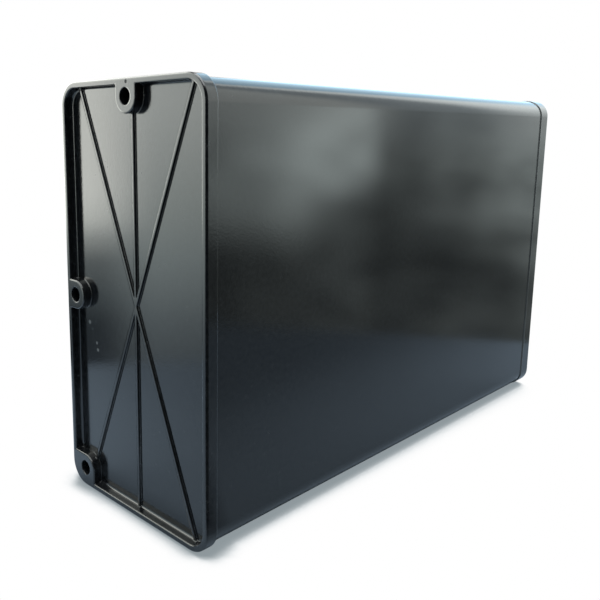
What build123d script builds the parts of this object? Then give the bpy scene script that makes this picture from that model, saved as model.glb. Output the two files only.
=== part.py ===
"""Injection moulded plastic housing.

A deep rectangular box, moulded in one piece. One end is closed by a recessed panel that is stiffened
by flow ribs and framed by a collar with three blind screw bosses. The other end is the open mouth,
where the wall ends in a slightly thicker lip.

Frame: +X runs from the ribbed end to the mouth, +Z is up, and the origin lies under the middle of
the housing, on the surface that it stands on. All sizes are in millimetres and all angles in degrees.
"""

import os
from math import atan2, degrees, hypot

from build123d import *

# Overall form
housing_length = 250.0  # ribbed end to mouth
body_width = 80.0
body_height = 158.0
body_corner = 8.0  # radius of the four long edges
wall = 2.4  # side walls, where they reach the lip
core_draft = 0.2  # each side wall thickens towards the ribbed end by this angle
core_floor_radius = 3.0  # inside, where the side walls meet the end panel

# Collar round the ribbed end
collar_step = 1.0  # how far the collar stands proud of the body
collar_depth = 5.0  # along the housing
rim_wall = 2.3
rim_outer_radius = 0.9
rim_inner_radius = 0.6

# Lip round the mouth
lip_step = 0.4
lip_depth = 8.0
lip_radius = 0.6

# End panel and its ribs
panel_depth = 3.6  # from the rim down to the panel
panel_thickness = 2.6
panel_foot_radius = 1.0  # where the panel meets the rim's wall
rib_height = 0.8
rib_width = 1.2
rib_draft = 2.0

# Screw bosses
boss_diameter = 11.6
bore_diameter = 6.0
top_bore_depth = 12.0
side_bore_depth = 13.0
corner_bore_depth = 11.0
boss_cap = 2.4  # plastic left behind the blind end of the deepest bore
top_boss_inset = 6.3  # from the collar's outside to the centre of the bore
side_boss_inset = 5.9
side_boss_drop = 1.0  # below the middle of the rim
corner_boss_inset_across = 9.3
corner_boss_inset_up = 7.6

# Sizes that follow from the ones above
collar_width = body_width + 2 * collar_step
collar_height = body_height + 2 * collar_step
collar_corner = body_corner + collar_step
lip_width = body_width + 2 * lip_step
lip_height = body_height + 2 * lip_step
recess_width = collar_width - 2 * rim_wall
recess_height = collar_height - 2 * rim_wall
recess_corner = collar_corner - rim_wall
core_depth = housing_length - panel_depth - panel_thickness
boss_length = max(top_bore_depth, side_bore_depth, corner_bore_depth) + boss_cap

# The rim's plane faces out of the ribbed end, with local X towards -Y and local Y upwards.
rim_plane = Plane(
    origin=(-housing_length / 2, 0, collar_height / 2), x_dir=(0, -1, 0), z_dir=(-1, 0, 0)
)
panel_plane = rim_plane.offset(-panel_depth)
collar_back_plane = rim_plane.offset(-collar_depth)
mouth_plane = Plane(
    origin=(housing_length / 2, 0, collar_height / 2), x_dir=(0, 1, 0), z_dir=(1, 0, 0)
)

# Centres of the bores on the rim's plane
top_boss = (0, collar_height / 2 - top_boss_inset)
side_boss = (side_boss_inset - collar_width / 2, -side_boss_drop)
corner_boss = (
    corner_boss_inset_across - collar_width / 2,
    corner_boss_inset_up - collar_height / 2,
)

# The diagonal ribs aim at the points where the recess's corners meet its short sides, and end inside
# the rim's wall, as the middle rib does.
diagonal_run = recess_width - 2 * recess_corner
diagonal_rise = recess_height
diagonal_length = hypot(diagonal_run, diagonal_rise) + rim_wall
diagonal_angle = degrees(atan2(diagonal_rise, diagonal_run))

# The inside of the box, as the mould's core forms it
with BuildPart() as core:
    with BuildSketch(mouth_plane):
        RectangleRounded(body_width - 2 * wall, body_height - 2 * wall, body_corner - wall)
    extrude(amount=-core_depth, taper=core_draft)
    fillet(core.faces().sort_by(Axis.X)[0].edges(), core_floor_radius)

with BuildPart() as housing:
    # Collar, body and lip
    with BuildSketch(rim_plane):
        RectangleRounded(collar_width, collar_height, collar_corner)
    extrude(amount=-collar_depth)
    fillet(housing.faces().sort_by(Axis.X)[0].edges(), rim_outer_radius)
    with BuildSketch(collar_back_plane):
        RectangleRounded(body_width, body_height, body_corner)
    extrude(amount=collar_depth - housing_length)
    with BuildSketch(mouth_plane):
        RectangleRounded(lip_width, lip_height, body_corner + lip_step)
    extrude(amount=-lip_depth)
    fillet(housing.faces().sort_by(Axis.X)[-1].edges(), lip_radius)

    # Inside of the box
    add(core.part, mode=Mode.SUBTRACT)

    # Recess in front of the panel
    with BuildSketch(rim_plane):
        RectangleRounded(recess_width, recess_height, recess_corner)
    extrude(amount=-panel_depth, mode=Mode.SUBTRACT)
    panel_faces = housing.faces().filter_by_position(
        Axis.X, panel_plane.origin.X - 0.01, panel_plane.origin.X + 0.01
    )
    fillet(panel_faces[0].edges(), panel_foot_radius)

    # Screw bosses, flush with the rim, that reach through the panel into the box
    with BuildSketch(rim_plane):
        with Locations(top_boss, side_boss, corner_boss):
            Circle(boss_diameter / 2)
        with Locations(top_boss):
            Rectangle(boss_diameter, top_boss_inset, align=(Align.CENTER, Align.MIN))
        with Locations(side_boss):
            Rectangle(side_boss_inset, boss_diameter, align=(Align.MAX, Align.CENTER))
        with Locations(corner_boss):
            Rectangle(corner_boss_inset_across, boss_diameter, align=(Align.MAX, Align.CENTER))
            Rectangle(boss_diameter, corner_boss_inset_up, align=(Align.CENTER, Align.MAX))
        RectangleRounded(recess_width, recess_height, recess_corner, mode=Mode.INTERSECT)
    extrude(amount=-boss_length)
    fillet(housing.faces().sort_by(Axis.X)[0].inner_wires()[0].edges(), rim_inner_radius)

    # Ribs, from the panel outwards
    with BuildSketch(panel_plane):
        Rectangle(rib_width, recess_height + rim_wall)
        Rectangle(diagonal_length, rib_width, rotation=diagonal_angle)
        Rectangle(diagonal_length, rib_width, rotation=-diagonal_angle)
    extrude(amount=rib_height, taper=rib_draft)

    with Locations(rim_plane):
        with Locations(top_boss):
            Hole(bore_diameter / 2, top_bore_depth)
        with Locations(side_boss):
            Hole(bore_diameter / 2, side_bore_depth)
        with Locations(corner_boss):
            Hole(bore_diameter / 2, corner_bore_depth)

housing.part.label = "housing"

os.makedirs("parts", exist_ok=True)
export_step(housing.part, "parts/housing.step")
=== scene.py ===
"""Finishes the moulded plastic housing and stands it in a small pale studio.

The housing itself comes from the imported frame. This file gives it its semi-gloss black moulding
finish and builds the stage: a pale floor, a soft lamp, and cards that show only in the gloss.
All sizes are in metres.
"""

import math

import bpy
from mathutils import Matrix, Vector


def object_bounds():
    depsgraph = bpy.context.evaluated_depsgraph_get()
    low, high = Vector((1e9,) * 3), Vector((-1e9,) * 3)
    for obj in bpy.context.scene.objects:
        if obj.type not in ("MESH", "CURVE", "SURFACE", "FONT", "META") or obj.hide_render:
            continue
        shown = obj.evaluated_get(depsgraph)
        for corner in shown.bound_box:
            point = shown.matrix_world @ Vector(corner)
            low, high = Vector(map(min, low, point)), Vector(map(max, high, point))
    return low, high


bl_info = {
    "name": "Moulded Housing",
    "version": (1, 0, 0),
    "blender": (4, 5, 0),
    "location": "3D View > Sidebar > Housing",
    "description": "Finishes a moulded plastic housing and builds a studio for it",
    "category": "Object",
}

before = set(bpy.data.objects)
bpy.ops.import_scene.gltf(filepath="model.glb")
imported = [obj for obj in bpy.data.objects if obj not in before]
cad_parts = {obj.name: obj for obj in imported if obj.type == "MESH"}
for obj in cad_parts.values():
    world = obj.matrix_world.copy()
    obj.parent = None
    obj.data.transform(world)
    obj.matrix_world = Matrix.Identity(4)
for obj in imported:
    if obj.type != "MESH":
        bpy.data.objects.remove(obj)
cad_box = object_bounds()


# Settings


class HousingFinishSettings(bpy.types.PropertyGroup):
    """The finish of the moulding"""

    plastic_colour: bpy.props.FloatVectorProperty(
        name="Plastic Colour",
        description="Colour of the moulded plastic itself",
        default=(0.005, 0.0056, 0.0066),
        min=0.0,
        max=1.0,
        subtype="COLOR",
    )
    # This colour also tints the pale highlight painted along the lip's step, where it is made 1.6
    # times lighter
    dust_and_highlight_colour: bpy.props.FloatVectorProperty(
        name="Dust Colour",
        description="Colour of the dust film where it lies thick",
        default=(0.06, 0.063, 0.062),
        min=0.0,
        max=1.0,
        subtype="COLOR",
    )
    fleck_colour: bpy.props.FloatVectorProperty(
        name="Fleck Colour",
        description="Colour of the few bigger flecks on the end panel",
        default=(0.16, 0.16, 0.15),
        min=0.0,
        max=1.0,
        subtype="COLOR",
    )
    panel_depth: bpy.props.FloatProperty(
        name="Panel Depth",
        description="How far the end panel lies behind the rim",
        default=0.0036,
        min=0.0,
        unit="LENGTH",
    )
    gloss_roughness: bpy.props.FloatProperty(
        name="Gloss Roughness",
        description="Roughness of the clean polished areas",
        default=0.09,
        min=0.0,
        max=1.0,
        subtype="FACTOR",
    )
    haze_roughness: bpy.props.FloatProperty(
        name="Haze Roughness",
        description="Roughness where the surface is hazy from handling",
        default=0.16,
        min=0.0,
        max=1.0,
        subtype="FACTOR",
    )
    edge_radius: bpy.props.FloatProperty(
        name="Edge Radius",
        description="Softening of the edges that the mould left sharp",
        default=0.0006,
        min=0.0,
        unit="LENGTH",
    )
    lip_depth: bpy.props.FloatProperty(
        name="Lip Depth",
        description="Length of the stepped lip round the open mouth",
        default=0.008,
        min=0.0,
        unit="LENGTH",
    )
    grain_size: bpy.props.FloatProperty(
        name="Grain Size",
        description="Width of one speck of the fine mould grain",
        default=0.0007,
        min=0.0001,
        unit="LENGTH",
    )
    grain_height: bpy.props.FloatProperty(
        name="Grain Height",
        description="Height of the fine mould grain",
        default=0.00002,
        min=0.0,
        unit="LENGTH",
    )
    sink_height: bpy.props.FloatProperty(
        name="Sink Height",
        description="Depth of the long soft waves that shrinkage leaves in the walls",
        default=0.00006,
        min=0.0,
        unit="LENGTH",
    )


class StageSettings(bpy.types.PropertyGroup):
    """The floor, lamps and cards round the housing"""

    table_colour: bpy.props.FloatVectorProperty(
        name="Table Colour",
        description="Colour of the floor as the gloss shows it",
        default=(0.6, 0.73, 0.87),
        min=0.0,
        max=1.0,
        subtype="COLOR",
    )
    shadow_colour: bpy.props.FloatVectorProperty(
        name="Shadow Colour",
        description="Darkest tone of the soft shadow under the housing",
        default=(0.27, 0.31, 0.33),
        min=0.0,
        max=1.0,
        subtype="COLOR",
    )
    shadow_reach: bpy.props.FloatProperty(
        name="Shadow Reach",
        description="How far the soft shadow spreads over the floor",
        default=0.02,
        min=0.001,
        unit="LENGTH",
    )
    window_strength: bpy.props.FloatProperty(
        name="Window Strength",
        description="Brightness of the window that the ribbed end mirrors",
        default=6.5,
        min=0.0,
    )
    sky_strength: bpy.props.FloatProperty(
        name="Sky Strength",
        description="Brightness of the pale light over the room that the long side mirrors",
        default=3.3,
        min=0.0,
    )
    overhead_power: bpy.props.FloatProperty(
        name="Overhead Power",
        description="Power of the soft lamp over the housing",
        default=30.0,
        min=0.0,
        unit="POWER",
    )
    fill_strength: bpy.props.FloatProperty(
        name="Fill Strength",
        description="Strength of the even light from all round",
        default=0.35,
        min=0.0,
    )


# Help with nodes


def new_tree(material):
    """Empties a material's node tree and returns it."""
    material.use_nodes = True
    material.node_tree.nodes.clear()
    return material.node_tree


def add_node(tree, kind, place, **values):
    """Adds a node, sets its properties, and sets the inputs whose names are given as in_NAME."""
    node = tree.nodes.new(kind)
    node.location = place
    for name, value in values.items():
        if name.startswith("in_"):
            feed(tree, value, node.inputs[name[3:].replace("_", " ")])
        else:
            setattr(node, name, value)
    return node


def feed(tree, value, socket):
    """Links another node's output to a socket, or gives the socket a plain value."""
    if isinstance(value, bpy.types.NodeSocket):
        tree.links.new(value, socket)
    else:
        socket.default_value = value


def object_axes(tree, place):
    """The place on the object, and its X, Y and Z apart."""
    surface = add_node(tree, "ShaderNodeTexCoord", place).outputs["Object"]
    apart = add_node(tree, "ShaderNodeSeparateXYZ", (place[0] + 200, place[1]), in_Vector=surface)
    return surface, *apart.outputs


def noise(tree, place, surface, scale, detail, distortion=0.0):
    """Cloudy values over the surface."""
    node = add_node(
        tree,
        "ShaderNodeTexNoise",
        place,
        in_Vector=surface,
        in_Scale=scale,
        in_Detail=detail,
        in_Distortion=distortion,
    )
    return node.outputs["Fac"]


def map_range(tree, place, value, source, target=(0.0, 1.0), smooth=False):
    """A value brought from the source range to the target range, and held inside it."""
    node = add_node(
        tree,
        "ShaderNodeMapRange",
        place,
        interpolation_type="SMOOTHSTEP" if smooth else "LINEAR",
        in_Value=value,
        in_From_Min=source[0],
        in_From_Max=source[1],
        in_To_Min=target[0],
        in_To_Max=target[1],
    )
    return node.outputs["Result"]


def maths(tree, place, operation, *values):
    """The result of a sum on numbers."""
    node = add_node(tree, "ShaderNodeMath", place, operation=operation)
    for value, socket in zip(values, node.inputs):
        feed(tree, value, socket)
    return node.outputs["Value"]


def vector_maths(tree, place, operation, *values):
    """The result of a sum on places or colours."""
    node = add_node(tree, "ShaderNodeVectorMath", place, operation=operation)
    for value, socket in zip(values, node.inputs):
        feed(tree, value, socket)
    return node.outputs["Value" if operation in ("DISTANCE", "LENGTH") else "Vector"]


def mix_values(tree, place, factor, first, second):
    """The first number where the factor is 0, and the second where it is 1."""
    node = add_node(tree, "ShaderNodeMix", place, data_type="FLOAT", in_Factor=factor)
    feed(tree, first, node.inputs[2])
    feed(tree, second, node.inputs[3])
    return node.outputs[0]


def mix_colours(tree, place, factor, first, second):
    """The first colour where the factor is 0, and the second where it is 1."""
    node = add_node(tree, "ShaderNodeMix", place, data_type="RGBA", in_Factor=factor)
    feed(tree, first, node.inputs[6])
    feed(tree, second, node.inputs[7])
    return node.outputs[2]


def colour_ramp(tree, place, value, stops):
    """A colour picked from stops, each a place and a grey level or a colour."""
    node = add_node(tree, "ShaderNodeValToRGB", place, in_Fac=value)
    elements = node.color_ramp.elements
    while len(elements) > 1:
        elements.remove(elements[-1])
    for index, (position, tone) in enumerate(stops):
        element = elements[0] if index == 0 else elements.new(position)
        element.position = position
        element.color = (*tone, 1.0) if isinstance(tone, tuple) else (tone, tone, tone, 1.0)
    return node.outputs["Color"]


def bump(tree, place, height, distance, normal):
    """The surface's direction, tilted by a relief of the given height."""
    node = add_node(
        tree,
        "ShaderNodeBump",
        place,
        in_Strength=1.0,
        in_Distance=distance,
        in_Height=height,
        in_Normal=normal,
    )
    return node.outputs["Normal"]


def glow(tree, place, colour, strength=1.0):
    """Ends a tree in plain light of one colour."""
    light = add_node(tree, "ShaderNodeEmission", place, in_Color=colour, in_Strength=strength)
    output = add_node(tree, "ShaderNodeOutputMaterial", (place[0] + 200, place[1]))
    tree.links.new(light.outputs["Emission"], output.inputs["Surface"])


def scaled(colour, factor):
    """A colour made lighter or darker."""
    return tuple(part * factor for part in colour)


# The housing's finish

BOX_LOW, BOX_HIGH = cad_box
MIDDLE_HEIGHT = (BOX_LOW[2] + BOX_HIGH[2]) / 2

# From the sides of the housing's box to the centres that its walls' corners turn round
CORNER_CENTRE = 0.009

# Two distances from those centres that lie inside the wall: the inner face is nearer than both,
# and the outer face, which takes the highlight painted along the lip's step, is farther
WALL_CORE = (0.0062, 0.007)

# Painted highlight along the lip's step: how far from the step it is still strong, and how far from
# it it ends
STEP_HIGHLIGHT_LINE = (0.0003, 0.0011)

# The flecks on the end panel: how far across and up each one lies, and its radius
FLECKS = ((0.0310, 0.0681, 0.0011), (0.0265, 0.0605, 0.0008), (0.0259, 0.0578, 0.0009))

# The gate's mark on the rim: its place across and below the top, and the radii it fades between
GATE_ACROSS = -0.0007
GATE_DROP = 0.0014
GATE_SPREAD = (0.0004, 0.001)


def painted_step_highlight(tree, surface, along, finish):
    """How strongly a pale highlight is painted along the step behind the lip, on the outside of the
    housing only.
    """
    from_step = maths(tree, (-900, 1100), "SUBTRACT", along, BOX_HIGH[0] - finish.lip_depth)
    off_step = maths(tree, (-700, 1100), "ABSOLUTE", from_step)
    line = map_range(tree, (-500, 1100), off_step, STEP_HIGHLIGHT_LINE, (0.8, 0.0), smooth=True)

    # The distance from the centres of the corners tells the outer faces from the inner ones
    centred = vector_maths(
        tree, (-1150, 1350), "MULTIPLY_ADD", surface, (0.0, 1.0, 1.0), (0.0, 0.0, -MIDDLE_HEIGHT)
    )
    quarter = vector_maths(tree, (-1000, 1350), "ABSOLUTE", centred)
    centre = (0.0, BOX_HIGH[1] - CORNER_CENTRE, MIDDLE_HEIGHT - CORNER_CENTRE)
    corner = vector_maths(tree, (-850, 1350), "SUBTRACT", quarter, centre)
    beyond = vector_maths(tree, (-700, 1350), "MAXIMUM", corner)
    outward = vector_maths(tree, (-550, 1350), "LENGTH", beyond)
    outside = map_range(tree, (-400, 1350), outward, WALL_CORE)
    return maths(tree, (-250, 1200), "MULTIPLY", line, outside)


def plastic_colour(tree, surface, along, finish):
    """Uneven black under a thin film of dust, with a pale highlight painted along the lip's step,
    and a few flecks.
    """
    deep = tuple(finish.plastic_colour)
    film = tuple(finish.dust_and_highlight_colour)
    patches = noise(tree, (-900, 800), surface, 30.0, 3.0)
    plastic = colour_ramp(
        tree, (-650, 800), patches, [(0.3, scaled(deep, 0.7)), (0.7, scaled(deep, 1.3))]
    )
    specks = noise(tree, (-900, 500), surface, 600.0, 3.0)
    dust = colour_ramp(
        tree,
        (-650, 500),
        specks,
        [(0.36, 0.0), (0.7, scaled(film, 0.16)), (0.8, scaled(film, 0.6))],
    )
    dusty = vector_maths(tree, (-350, 600), "ADD", plastic, dust)
    # Painted highlight: a pale band along the lip's step, in the dust colour made lighter
    highlight_band = painted_step_highlight(tree, surface, along, finish)
    colour = mix_colours(tree, (-100, 700), highlight_band, dusty, (*scaled(film, 1.6), 1.0))
    panel = BOX_LOW[0] + finish.panel_depth
    pale = (*finish.fleck_colour, 1.0)
    for row, (across, up, radius) in enumerate(FLECKS):
        line = 1600 + 300 * row
        away = vector_maths(tree, (-500, line), "DISTANCE", surface, (panel, across, up))
        fleck = map_range(tree, (-300, line), away, (radius / 2, radius), (1.0, 0.0), smooth=True)
        colour = mix_colours(tree, (-100, line), fleck, colour, pale)
    return colour


def plastic_roughness(tree, surface, finish):
    """Clean gloss with cloudy haze from handling, and a small matt gate mark over the top boss."""
    clouds = noise(tree, (-900, 200), surface, 11.0, 4.0, distortion=0.6)
    haze = map_range(
        tree, (-400, 200), clouds, (0.35, 0.7), (finish.gloss_roughness, finish.haze_roughness)
    )
    mark = (BOX_LOW[0], GATE_ACROSS, BOX_HIGH[2] - GATE_DROP)
    from_gate = vector_maths(tree, (-900, -50), "DISTANCE", surface, mark)
    gate = map_range(tree, (-650, -50), from_gate, GATE_SPREAD, (1.0, 0.0), smooth=True)
    return maths(tree, (-100, 150), "MAXIMUM", haze, gate)


def plastic_relief(tree, surface, finish):
    """Softened edges, then sink waves, then the mould's grain."""
    edges = add_node(tree, "ShaderNodeBevel", (-900, -300), samples=8, in_Radius=finish.edge_radius)
    waves = noise(tree, (-900, -500), surface, 16.0, 1.0)
    waved = bump(tree, (-500, -400), waves, finish.sink_height, edges.outputs["Normal"])
    grain = noise(tree, (-900, -800), surface, 1.0 / finish.grain_size, 3.0)
    return bump(tree, (-200, -600), grain, finish.grain_height, waved)


def plastic_material(finish):
    """Semi-gloss black plastic with a fine grain, soft sink waves, a little haze and dust, and a
    painted highlight along the lip's step.
    """
    material = bpy.data.materials.new("moulded_black_plastic")
    tree = new_tree(material)
    surface, along, _, _ = object_axes(tree, (-1400, 0))
    shader = add_node(
        tree,
        "ShaderNodeBsdfPrincipled",
        (200, 0),
        in_IOR=1.5,
        in_Base_Color=plastic_colour(tree, surface, along, finish),
        in_Roughness=plastic_roughness(tree, surface, finish),
        in_Normal=plastic_relief(tree, surface, finish),
    )
    output = add_node(tree, "ShaderNodeOutputMaterial", (500, 0))
    tree.links.new(shader.outputs["BSDF"], output.inputs["Surface"])
    return material


class HOUSING_OT_finish(bpy.types.Operator):
    """Give the moulding its semi-gloss black plastic finish"""

    bl_idname = "housing.finish"
    bl_label = "Finish Housing"
    bl_options = {"REGISTER", "UNDO"}

    def execute(self, context):
        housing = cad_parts["housing"]
        material = plastic_material(context.scene.housing_finish)
        housing.data.materials.clear()
        housing.data.materials.append(material)
        return {"FINISHED"}


# The stage

FLOOR_REACH = 3.0
CARD_HEIGHT = 1.1


def add_card(name, place, facing, ends, height, material):
    """An upright card on the floor, seen only in reflections, that reaches from end to end."""
    left, right = ends
    mesh = bpy.data.meshes.new(name)
    corners = [(left, 0, 0), (right, 0, 0), (right, 0, height), (left, 0, height)]
    mesh.from_pydata(corners, [], [(0, 1, 2, 3)])
    mesh.materials.append(material)
    card = bpy.data.objects.new(name, mesh)
    card.location = (*place, 0.0)
    card.rotation_euler = (0.0, 0.0, math.radians(facing))
    card.visible_camera = False
    card.visible_diffuse = False
    card.visible_shadow = False
    bpy.context.scene.collection.objects.link(card)


def window_card_material(stage):
    """A bright window seen past a dark ledge: its light grows with height."""
    material = bpy.data.materials.new("window_card")
    tree = new_tree(material)
    _, along, _, up = object_axes(tree, (-1200, 0))
    height = map_range(tree, (-800, 100), up, (0.0, 0.2))
    near = colour_ramp(
        tree,
        (-550, 200),
        height,
        [
            (0.0, (0.02, 0.025, 0.03)),
            (0.13, (0.024, 0.03, 0.034)),
            (0.22, (0.07, 0.085, 0.09)),
            (0.33, (0.15, 0.17, 0.17)),
            (0.4, (0.42, 0.45, 0.43)),
            (0.45, (0.78, 0.81, 0.76)),
            (0.54, (0.97, 0.99, 0.93)),
            (0.8, (0.94, 0.96, 0.9)),
        ],
    )
    far = colour_ramp(
        tree,
        (-550, -100),
        height,
        [
            (0.0, (0.1, 0.12, 0.13)),
            (0.13, (0.16, 0.19, 0.2)),
            (0.32, (0.31, 0.36, 0.36)),
            (0.5, (0.45, 0.5, 0.48)),
            (0.8, (0.69, 0.73, 0.7)),
        ],
    )
    side = map_range(tree, (-550, -400), along, (-0.026, 0.014), smooth=True)
    window = mix_colours(tree, (-200, 100), side, near, far)
    glow(tree, (100, 0), window, stage.window_strength)
    return material


def room_card_material(stage):
    """A dim room with one soft bright patch, and pale light over it."""
    material = bpy.data.materials.new("room_card")
    tree = new_tree(material)
    surface, along, _, up = object_axes(tree, (-1800, 0))

    # The bright patch: its lower edge climbs towards its sharp side, and the other side fades
    climb = map_range(tree, (-1400, 400), along, (-0.057, 0.0), (0.0, -0.046))
    lifted = maths(tree, (-1200, 400), "ADD", up, climb)
    patch = map_range(tree, (-1000, 400), lifted, (0.04, 0.115), (0.36, 3.1), smooth=True)
    gain = map_range(tree, (-1000, 150), along, (-0.12, -0.02), (0.48, 1.22))
    bright = maths(tree, (-800, 300), "MULTIPLY", patch, gain)

    # The dim part, which lightens with height and towards the far end
    tilt = map_range(tree, (-1400, -100), along, (0.02, 0.11), (0.0, 0.05))
    raised = maths(tree, (-1200, -100), "ADD", up, tilt)
    dim = map_range(tree, (-1000, -100), raised, (0.065, 0.175), (0.23, 1.0), smooth=True)
    side = map_range(tree, (-1000, -400), along, (-0.007, 0.002), smooth=True)
    level = mix_values(tree, (-600, 100), side, bright, dim)

    # Clouds over both
    clouds = noise(tree, (-1000, -700), surface, 30.0, 5.0)
    cloud_level = map_range(tree, (-800, -600), clouds, (0.25, 0.75), (0.3, 1.7))
    cloudy = maths(tree, (-400, 0), "MULTIPLY", level, cloud_level)
    room = vector_maths(tree, (-200, 0), "MULTIPLY", (0.88, 1.0, 0.98), cloudy)

    # The pale light over the room, bluer to one side
    across = map_range(tree, (-1000, -1000), along, (-0.02, 0.3))
    sky = colour_ramp(
        tree,
        (-700, -1000),
        across,
        [
            (0.0, (0.7, 0.75, 0.73)),
            (0.12, (0.35, 0.4, 0.42)),
            (0.28, (0.35, 0.4, 0.42)),
            (0.38, (0.93, 1.0, 1.0)),
            (0.47, (0.93, 1.0, 1.0)),
            (0.6, (0.45, 0.66, 0.82)),
            (1.0, (0.5, 0.72, 0.88)),
        ],
    )
    bright_sky = vector_maths(tree, (-400, -1000), "MULTIPLY", sky, (stage.sky_strength,) * 3)
    over = map_range(tree, (-700, -1300), up, (0.115, 0.205), smooth=True)
    glow(tree, (200, 0), mix_colours(tree, (0, 0), over, room, bright_sky))
    return material


def dark_card_material():
    """A plain near-black card."""
    material = bpy.data.materials.new("dark_card")
    glow(new_tree(material), (0, 0), (0.012, 0.014, 0.017, 1.0))
    return material


def floor_shadow(tree, along, stage):
    """White, apart from a soft shadow where the housing is near."""
    spread = (stage.shadow_reach * 0.75, stage.shadow_reach * 1.7)
    reach = map_range(tree, (-900, 200), along, (-0.14, 0.12), spread)
    near = add_node(tree, "ShaderNodeAmbientOcclusion", (-600, 100), samples=16, in_Distance=reach)

    # The end stands plumb on the floor, and the long sides hang over it in a round
    plumb = map_range(tree, (-900, 0), along, (-0.125, -0.11), (0.2, 0.0))
    openness = maths(tree, (-500, -50), "SUBTRACT", near.outputs["AO"], plumb)
    return colour_ramp(
        tree,
        (-400, 100),
        openness,
        [
            (0.28, tuple(stage.shadow_colour)),
            (0.42, (0.33, 0.37, 0.39)),
            (0.5, (0.58, 0.62, 0.64)),
            (0.56, (0.87, 0.89, 0.9)),
            (0.63, 1.0),
        ],
    )


def floor_in_gloss(tree, along, across, stage):
    """The pale floor as the gloss shows it, with painted shade and a painted dark wedge."""
    # Painted shade: darker along the long side, where the housing shades the floor, and a little
    # darker far out past the end
    depth = map_range(tree, (-1000, -200), across, (-0.17, -0.05), (0.25, 0.53), smooth=True)
    end_side = map_range(tree, (-1000, -500), along, (-0.22, -0.145), (0.74, 1.0))
    past = map_range(tree, (-1000, -800), along, (-0.135, -0.12))
    level = mix_values(tree, (-700, -400), past, end_side, depth)

    # A dark wedge painted on the floor between the end and the long side, which the near edges
    # mirror as a painted dark reflection
    slant = maths(tree, (-1000, -1100), "MULTIPLY_ADD", across, 0.7, 0.1515)
    wedge = maths(tree, (-800, -1100), "ADD", slant, along)
    wedge_side = map_range(tree, (-600, -1100), wedge, (0.0, 0.015), (0.05, 1.0))
    wedge_end = map_range(tree, (-600, -1400), across, (-0.06, -0.045), (0.05, 1.0))
    outside = maths(tree, (-400, -1200), "MAXIMUM", wedge_side, wedge_end)
    # Painted shade: the floor's gloss colour darkened by the shade level and the dark wedge
    painted_shade = maths(tree, (-500, -600), "MULTIPLY", level, outside)
    return vector_maths(tree, (-300, -300), "MULTIPLY", tuple(stage.table_colour), painted_shade)


def floor_material(stage):
    """White to the camera apart from a soft shadow, and pale blue-grey in the gloss."""
    material = bpy.data.materials.new("pale_floor")
    tree = new_tree(material)
    _, along, across, _ = object_axes(tree, (-1400, -300))
    rays = add_node(tree, "ShaderNodeLightPath", (-600, 500))
    seen = add_node(
        tree,
        "ShaderNodeEmission",
        (-100, 100),
        in_Color=floor_shadow(tree, along, stage),
        in_Strength=1.0,
    )
    gloss_tone = floor_in_gloss(tree, along, across, stage)
    lit = add_node(tree, "ShaderNodeBsdfDiffuse", (-100, -100), in_Color=gloss_tone)
    mix = add_node(tree, "ShaderNodeMixShader", (200, 100), in_Fac=rays.outputs["Is Camera Ray"])
    tree.links.new(lit.outputs["BSDF"], mix.inputs[1])
    tree.links.new(seen.outputs["Emission"], mix.inputs[2])
    output = add_node(tree, "ShaderNodeOutputMaterial", (400, 100))
    tree.links.new(mix.outputs["Shader"], output.inputs["Surface"])
    return material


def light_world(stage):
    """White background to the camera, gloss and clear parts, and an even fill for the rest."""
    world = bpy.data.worlds.new("studio_world")
    bpy.context.scene.world = world
    world.use_nodes = True
    tree = world.node_tree
    tree.nodes.clear()
    rays = add_node(tree, "ShaderNodeLightPath", (-700, 300)).outputs
    seen = maths(tree, (-450, 300), "MAXIMUM", rays["Is Camera Ray"], rays["Is Glossy Ray"])
    clear = maths(tree, (-250, 300), "MAXIMUM", seen, rays["Is Transmission Ray"])
    fill = add_node(
        tree,
        "ShaderNodeBackground",
        (-250, 100),
        in_Color=(0.9, 0.96, 1.0, 1.0),
        in_Strength=stage.fill_strength,
    )
    white = add_node(
        tree, "ShaderNodeBackground", (-250, -100), in_Color=(1.0, 1.0, 1.0, 1.0), in_Strength=1.0
    )
    mix = add_node(tree, "ShaderNodeMixShader", (50, 200), in_Fac=clear)
    tree.links.new(fill.outputs["Background"], mix.inputs[1])
    tree.links.new(white.outputs["Background"], mix.inputs[2])
    output = add_node(tree, "ShaderNodeOutputWorld", (250, 200))
    tree.links.new(mix.outputs["Shader"], output.inputs["Surface"])


def add_lamp(name, place, aim, size, power, colour):
    """A square soft lamp that points at a place."""
    data = bpy.data.lights.new(name, "AREA")
    data.shape = "SQUARE"
    data.size = size
    data.energy = power
    data.color = colour
    lamp = bpy.data.objects.new(name, data)
    lamp.location = place
    lamp.rotation_mode = "QUATERNION"
    lamp.rotation_quaternion = (Vector(aim) - Vector(place)).to_track_quat("-Z", "Y")
    bpy.context.scene.collection.objects.link(lamp)


def add_camera():
    """Looks down the housing's length from its ribbed end."""
    data = bpy.data.cameras.new("view")
    data.sensor_width = 36.0
    data.lens = 42.44
    data.shift_x = 0.1241
    data.shift_y = -0.0679
    data.clip_start = 0.01
    data.clip_end = 20.0
    camera = bpy.data.objects.new("view", data)
    camera.location = (-0.27033, -0.2006, 0.14128)
    camera.rotation_euler = (math.radians(79.951), math.radians(-0.247), math.radians(-43.863))
    bpy.context.scene.collection.objects.link(camera)
    bpy.context.scene.camera = camera


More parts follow.
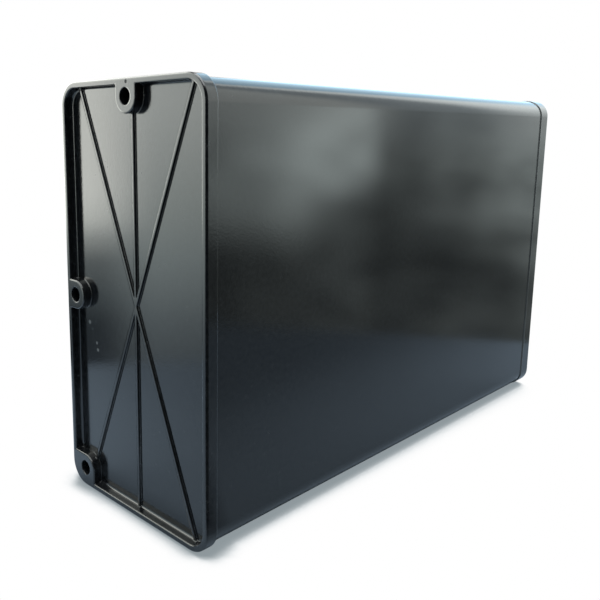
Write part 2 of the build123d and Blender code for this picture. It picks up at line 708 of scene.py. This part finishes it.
class HOUSING_OT_stage(bpy.types.Operator):
    """Build the floor, lamps, reflector cards and camera"""

    bl_idname = "housing.stage"
    bl_label = "Build Stage"
    bl_options = {"REGISTER", "UNDO"}

    def execute(self, context):
        stage = context.scene.housing_stage
        floor_mesh = bpy.data.meshes.new("floor")
        edge = FLOOR_REACH
        corners = [(-edge, -edge, 0), (edge, -edge, 0), (edge, edge, 0), (-edge, edge, 0)]
        floor_mesh.from_pydata(corners, [], [(0, 1, 2, 3)])
        floor_mesh.materials.append(floor_material(stage))
        floor = bpy.data.objects.new("floor", floor_mesh)
        context.scene.collection.objects.link(floor)

        window = window_card_material(stage)
        room = room_card_material(stage)
        dark = dark_card_material()
        cards = (
            ("window_card", (-0.2269, 0.1428), 217.0, (-0.3, 0.3), 0.45, window),
            ("room_card", (0.1487, -0.1618), 56.0, (-0.2, 1.2), 0.8, room),
            ("dark_card_end", (-0.85, -0.25), 90.0, (-0.45, 0.45), CARD_HEIGHT, dark),
            ("dark_card_corner", (-0.62, -0.72), 135.0, (-0.4, 0.4), CARD_HEIGHT, dark),
            ("dark_card_side", (-0.12, -0.95), 180.0, (-0.75, 0.3), CARD_HEIGHT, dark),
        )
        for card in cards:
            add_card(*card)
        overhead = (0.0, -0.1, 1.3)
        centre = (0.0, 0.0, 0.0)
        add_lamp("overhead", overhead, centre, 1.3, stage.overhead_power, (0.93, 0.98, 1.0))
        light_world(stage)
        add_camera()
        context.scene.view_settings.view_transform = "Standard"
        return {"FINISHED"}


class HOUSING_PT_tools(bpy.types.Panel):
    """Lists the housing's steps and settings"""

    bl_label = "Moulded Housing"
    bl_space_type = "VIEW_3D"
    bl_region_type = "UI"
    bl_category = "Housing"

    def draw(self, context):
        layout = self.layout
        finish = layout.box()
        finish.label(text="Finish")
        for name in HousingFinishSettings.__annotations__:
            finish.prop(context.scene.housing_finish, name)
        finish.operator("housing.finish")
        stage = layout.box()
        stage.label(text="Stage")
        for name in StageSettings.__annotations__:
            stage.prop(context.scene.housing_stage, name)
        stage.operator("housing.stage")


CLASSES = (
    HousingFinishSettings,
    StageSettings,
    HOUSING_OT_finish,
    HOUSING_OT_stage,
    HOUSING_PT_tools,
)


def register():
    for cls in CLASSES:
        bpy.utils.register_class(cls)
    bpy.types.Scene.housing_finish = bpy.props.PointerProperty(type=HousingFinishSettings)
    bpy.types.Scene.housing_stage = bpy.props.PointerProperty(type=StageSettings)


def unregister():
    del bpy.types.Scene.housing_stage
    del bpy.types.Scene.housing_finish
    for cls in reversed(CLASSES):
        bpy.utils.unregister_class(cls)


def main():
    """Builds everything in order."""
    register()
    bpy.ops.housing.finish()
    bpy.ops.housing.stage()


if __name__ == "__main__":
    main()
